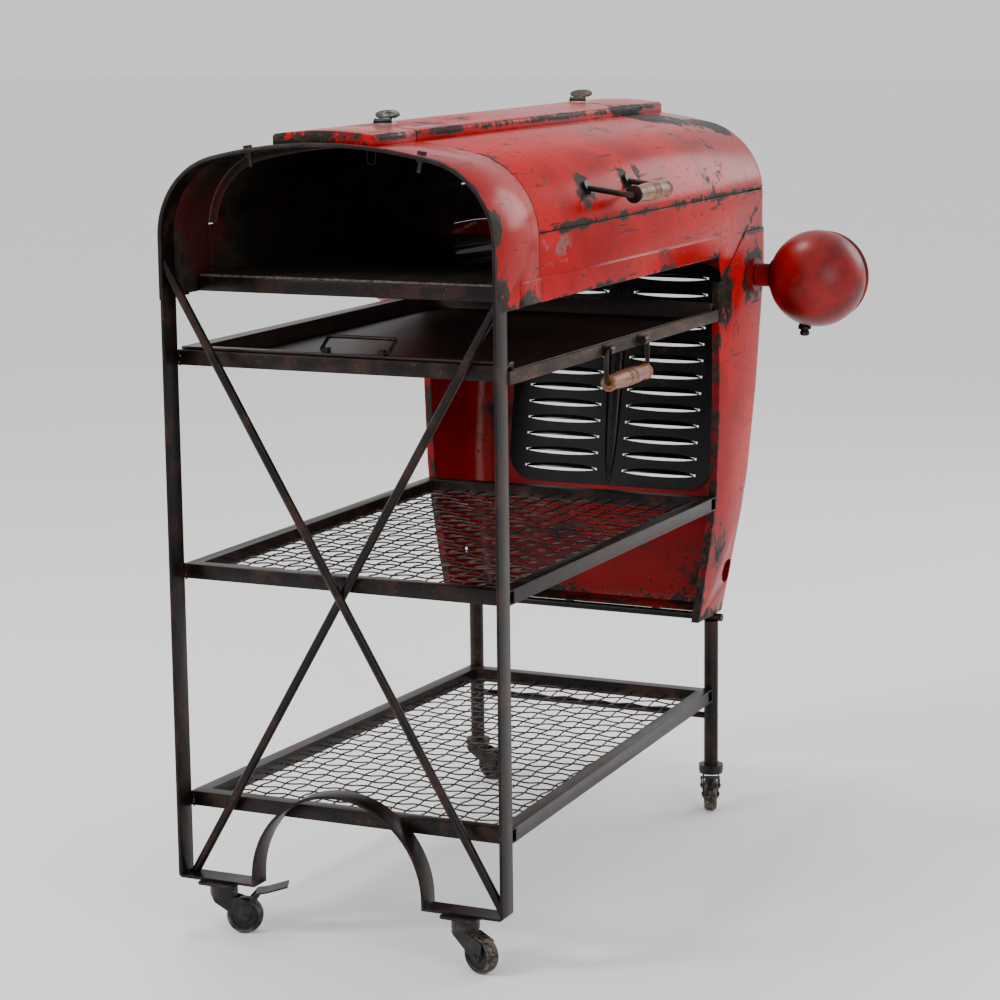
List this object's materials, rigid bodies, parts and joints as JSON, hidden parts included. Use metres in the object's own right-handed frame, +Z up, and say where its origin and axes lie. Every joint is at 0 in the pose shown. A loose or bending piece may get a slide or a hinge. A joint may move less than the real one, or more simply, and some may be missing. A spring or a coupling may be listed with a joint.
{
  "type": "wheeled serving grill trolley",
  "caption": "Wheeled serving trolley made from an arched bonnet with a hinged lid, a slotted nose with two lamps, a side drawer, two mesh shelves and a steel frame on casters.",
  "frame": {"origin": "centre of the footprint on the ground, under the middle of the bounding box", "axes": "+Z up, -Y is the open front with the crossed rods, +X is the side with the drawer and the lid handle"},
  "size_m": [0.845, 1.0025, 1.1084],
  "materials": {
    "red_paint": "worn gloss red paint over old brown primer",
    "frame_paint": "dark brown-black lacquered steel with brown wear",
    "steel_wire": "dull wire with a brown patina",
    "zinc": "bright plated hardware",
    "rusty_steel": "tan-brown rusty bare steel",
    "black_gloss": "black gloss enamel",
    "stained_board": "dark stained board",
    "turned_wood": "turned wood, worn varnish",
    "lamp_glass": "clear ribbed lens",
    "reflector": "bright reflector",
    "caster_black": "black moulded wheel with a worn tread"
  },
  "bodies": {
    "chassis": {"hoop_frame": "frame_paint", "brace_rods": "frame_paint", "lower_shelf_frame": "frame_paint", "lower_shelf_mesh": "steel_wire", "middle_shelf_frame": "frame_paint", "middle_shelf_mesh": "steel_wire", "tray_runner_frame": "frame_paint", "hood_floor_frame": "frame_paint", "hood_floor_boards": "stained_board", "hood_front_panel": "red_paint", "hood_side_left": "red_paint", "hood_side_right": "red_paint", "hood_bolts": "zinc", "top_strip_front": "red_paint", "nose_shell": "red_paint", "grille_panel": "black_gloss", "nose_bottom_bar": "frame_paint", "rear_legs": "frame_paint", "rear_leg_cross_rod": "frame_paint", "lid_hinge_fixed": "zinc", "lid_hinge_pins": "zinc", "lamp_bosses": "red_paint", "caster_plates": "zinc", "caster_collars": "zinc"},
    "lid": {"lid_skin": "red_paint", "top_strip_rear": "red_paint", "lid_hinge_moving": "zinc", "lid_handle_bar": "frame_paint", "lid_hook": "frame_paint", "catch_brackets": "zinc"},
    "lid_handle_grip": {"lid_grip": "turned_wood"},
    "thumb_catch_front": {"catch_lever_front": "zinc"},
    "thumb_catch_rear": {"catch_lever_rear": "rusty_steel"},
    "drawer": {"tray_pan": "frame_paint", "tray_face_bar": "rusty_steel", "tray_pull_eyes": "frame_paint", "tray_bail_eyes": "frame_paint"},
    "drawer_pull": {"tray_pull_rod": "frame_paint"},
    "drawer_pull_grip": {"tray_pull_grip": "turned_wood"},
    "tray_bail": {"tray_lift_bail": "frame_paint"},
    "headlamp_left": {"lamp_shell_left": "red_paint", "lamp_rim_left": "red_paint", "lamp_glass_left": "lamp_glass", "lamp_reflector_left": "reflector", "lamp_gland_left": "black_gloss"},
    "headlamp_right": {"lamp_shell_right": "red_paint", "lamp_rim_right": "red_paint", "lamp_glass_right": "lamp_glass", "lamp_reflector_right": "reflector", "lamp_gland_right": "black_gloss"},
    "caster_swivel_front_right": {"caster_fork_front_right": "zinc"},
    "caster_roller_front_right": {"caster_wheel_front_right": "caster_black"},
    "caster_swivel_front_left": {"caster_fork_front_left": "zinc"},
    "caster_roller_front_left": {"caster_wheel_front_left": "caster_black"},
    "caster_pedal_front_left": {"caster_brake_front_left": "zinc"},
    "caster_swivel_rear_right": {"caster_fork_rear_right": "zinc"},
    "caster_roller_rear_right": {"caster_wheel_rear_right": "caster_black"},
    "caster_pedal_rear_right": {"caster_brake_rear_right": "zinc"},
    "caster_swivel_rear_left": {"caster_fork_rear_left": "zinc"},
    "caster_roller_rear_left": {"caster_wheel_rear_left": "caster_black"}
  },
  "joints": [
    {"name": "lid_hinge", "type": "hinge", "parent": "chassis", "child": "lid", "pos_m": [-0.2505, 0.0126, 0.956], "axis": [0, -1, 0], "range_deg": [0, 75]},
    {"name": "lid_grip_spin", "type": "hinge", "parent": "lid", "child": "lid_handle_grip", "pos_m": [0.296, -0.1044, 0.993], "axis": [0, 1, 0], "continuous": true},
    {"name": "thumb_catch_front_tilt", "type": "hinge", "parent": "lid", "child": "thumb_catch_front", "pos_m": [0.004, -0.3144, 1.0945], "axis": [-1, 0, 0], "range_deg": [-45, 20]},
    {"name": "thumb_catch_rear_tilt", "type": "hinge", "parent": "lid", "child": "thumb_catch_rear", "pos_m": [-0.008, 0.3486, 1.0945], "axis": [-1, 0, 0], "range_deg": [-45, 20]},
    {"name": "drawer_slide", "type": "slide", "parent": "chassis", "child": "drawer", "axis": [1, 0, 0], "range_m": [0, 0.3]},
    {"name": "drawer_pull_swing", "type": "hinge", "parent": "drawer", "child": "drawer_pull", "pos_m": [0.2539, -0.0859, 0.7805], "axis": [0, -1, 0], "range_deg": [0, 95]},
    {"name": "drawer_pull_grip_spin", "type": "hinge", "parent": "drawer_pull", "child": "drawer_pull_grip", "pos_m": [0.2539, -0.0859, 0.736], "axis": [0, 1, 0], "continuous": true},
    {"name": "tray_bail_fold", "type": "hinge", "parent": "drawer", "child": "tray_bail", "pos_m": [0.019, -0.4384, 0.803], "axis": [-1, 0, 0], "range_deg": [-70, 30]},
    {"name": "headlamp_left_tilt", "type": "hinge", "parent": "chassis", "child": "headlamp_left", "pos_m": [-0.262, 0.4216, 0.828], "axis": [1, 0, 0], "range_deg": [-25, 25]},
    {"name": "headlamp_right_tilt", "type": "hinge", "parent": "chassis", "child": "headlamp_right", "pos_m": [0.262, 0.4216, 0.828], "axis": [1, 0, 0], "range_deg": [-25, 25]},
    {"name": "caster_swivel_front_right_turn", "type": "hinge", "parent": "chassis", "child": "caster_swivel_front_right", "pos_m": [0.183, -0.4684, 0.06], "axis": [0, 0, 1], "continuous": true},
    {"name": "caster_wheel_front_right_spin", "type": "hinge", "parent": "caster_swivel_front_right", "child": "caster_roller_front_right", "pos_m": [0.20963, -0.47705, 0.025], "axis": [0.309, 0.9511, 0], "continuous": true},
    {"name": "caster_swivel_front_left_turn", "type": "hinge", "parent": "chassis", "child": "caster_swivel_front_left", "pos_m": [-0.183, -0.4684, 0.06], "axis": [0, 0, 1], "continuous": true},
    {"name": "caster_wheel_front_left_spin", "type": "hinge", "parent": "caster_swivel_front_left", "child": "caster_roller_front_left", "pos_m": [-0.15762, -0.45657, 0.025], "axis": [-0.4226, 0.9063, 0], "continuous": true},
    {"name": "caster_brake_front_left_press", "type": "hinge", "parent": "caster_swivel_front_left", "child": "caster_pedal_front_left", "pos_m": [-0.15219, -0.45403, 0.041], "axis": [-0.4226, 0.9063, 0], "range_deg": [0, 20]},
    {"name": "caster_swivel_rear_right_turn", "type": "hinge", "parent": "chassis", "child": "caster_swivel_rear_right", "pos_m": [0.202, 0.3676, 0.06], "axis": [0, 0, 1], "continuous": true},
    {"name": "caster_wheel_rear_right_spin", "type": "hinge", "parent": "caster_swivel_rear_right", "child": "caster_roller_rear_right", "pos_m": [0.21158, 0.34129, 0.025], "axis": [0.9397, 0.342, 0], "continuous": true},
    {"name": "caster_brake_rear_right_press", "type": "hinge", "parent": "caster_swivel_rear_right", "child": "caster_pedal_rear_right", "pos_m": [0.21363, 0.33565, 0.041], "axis": [0.9397, 0.342, 0], "range_deg": [0, 20]},
    {"name": "caster_swivel_rear_left_turn", "type": "hinge", "parent": "chassis", "child": "caster_swivel_rear_left", "pos_m": [-0.202, 0.3676, 0.06], "axis": [0, 0, 1], "continuous": true},
    {"name": "caster_wheel_rear_left_spin", "type": "hinge", "parent": "caster_swivel_rear_left", "child": "caster_roller_rear_left", "pos_m": [-0.174, 0.3676, 0.025], "axis": [0, 1, 0], "continuous": true}
  ]
}
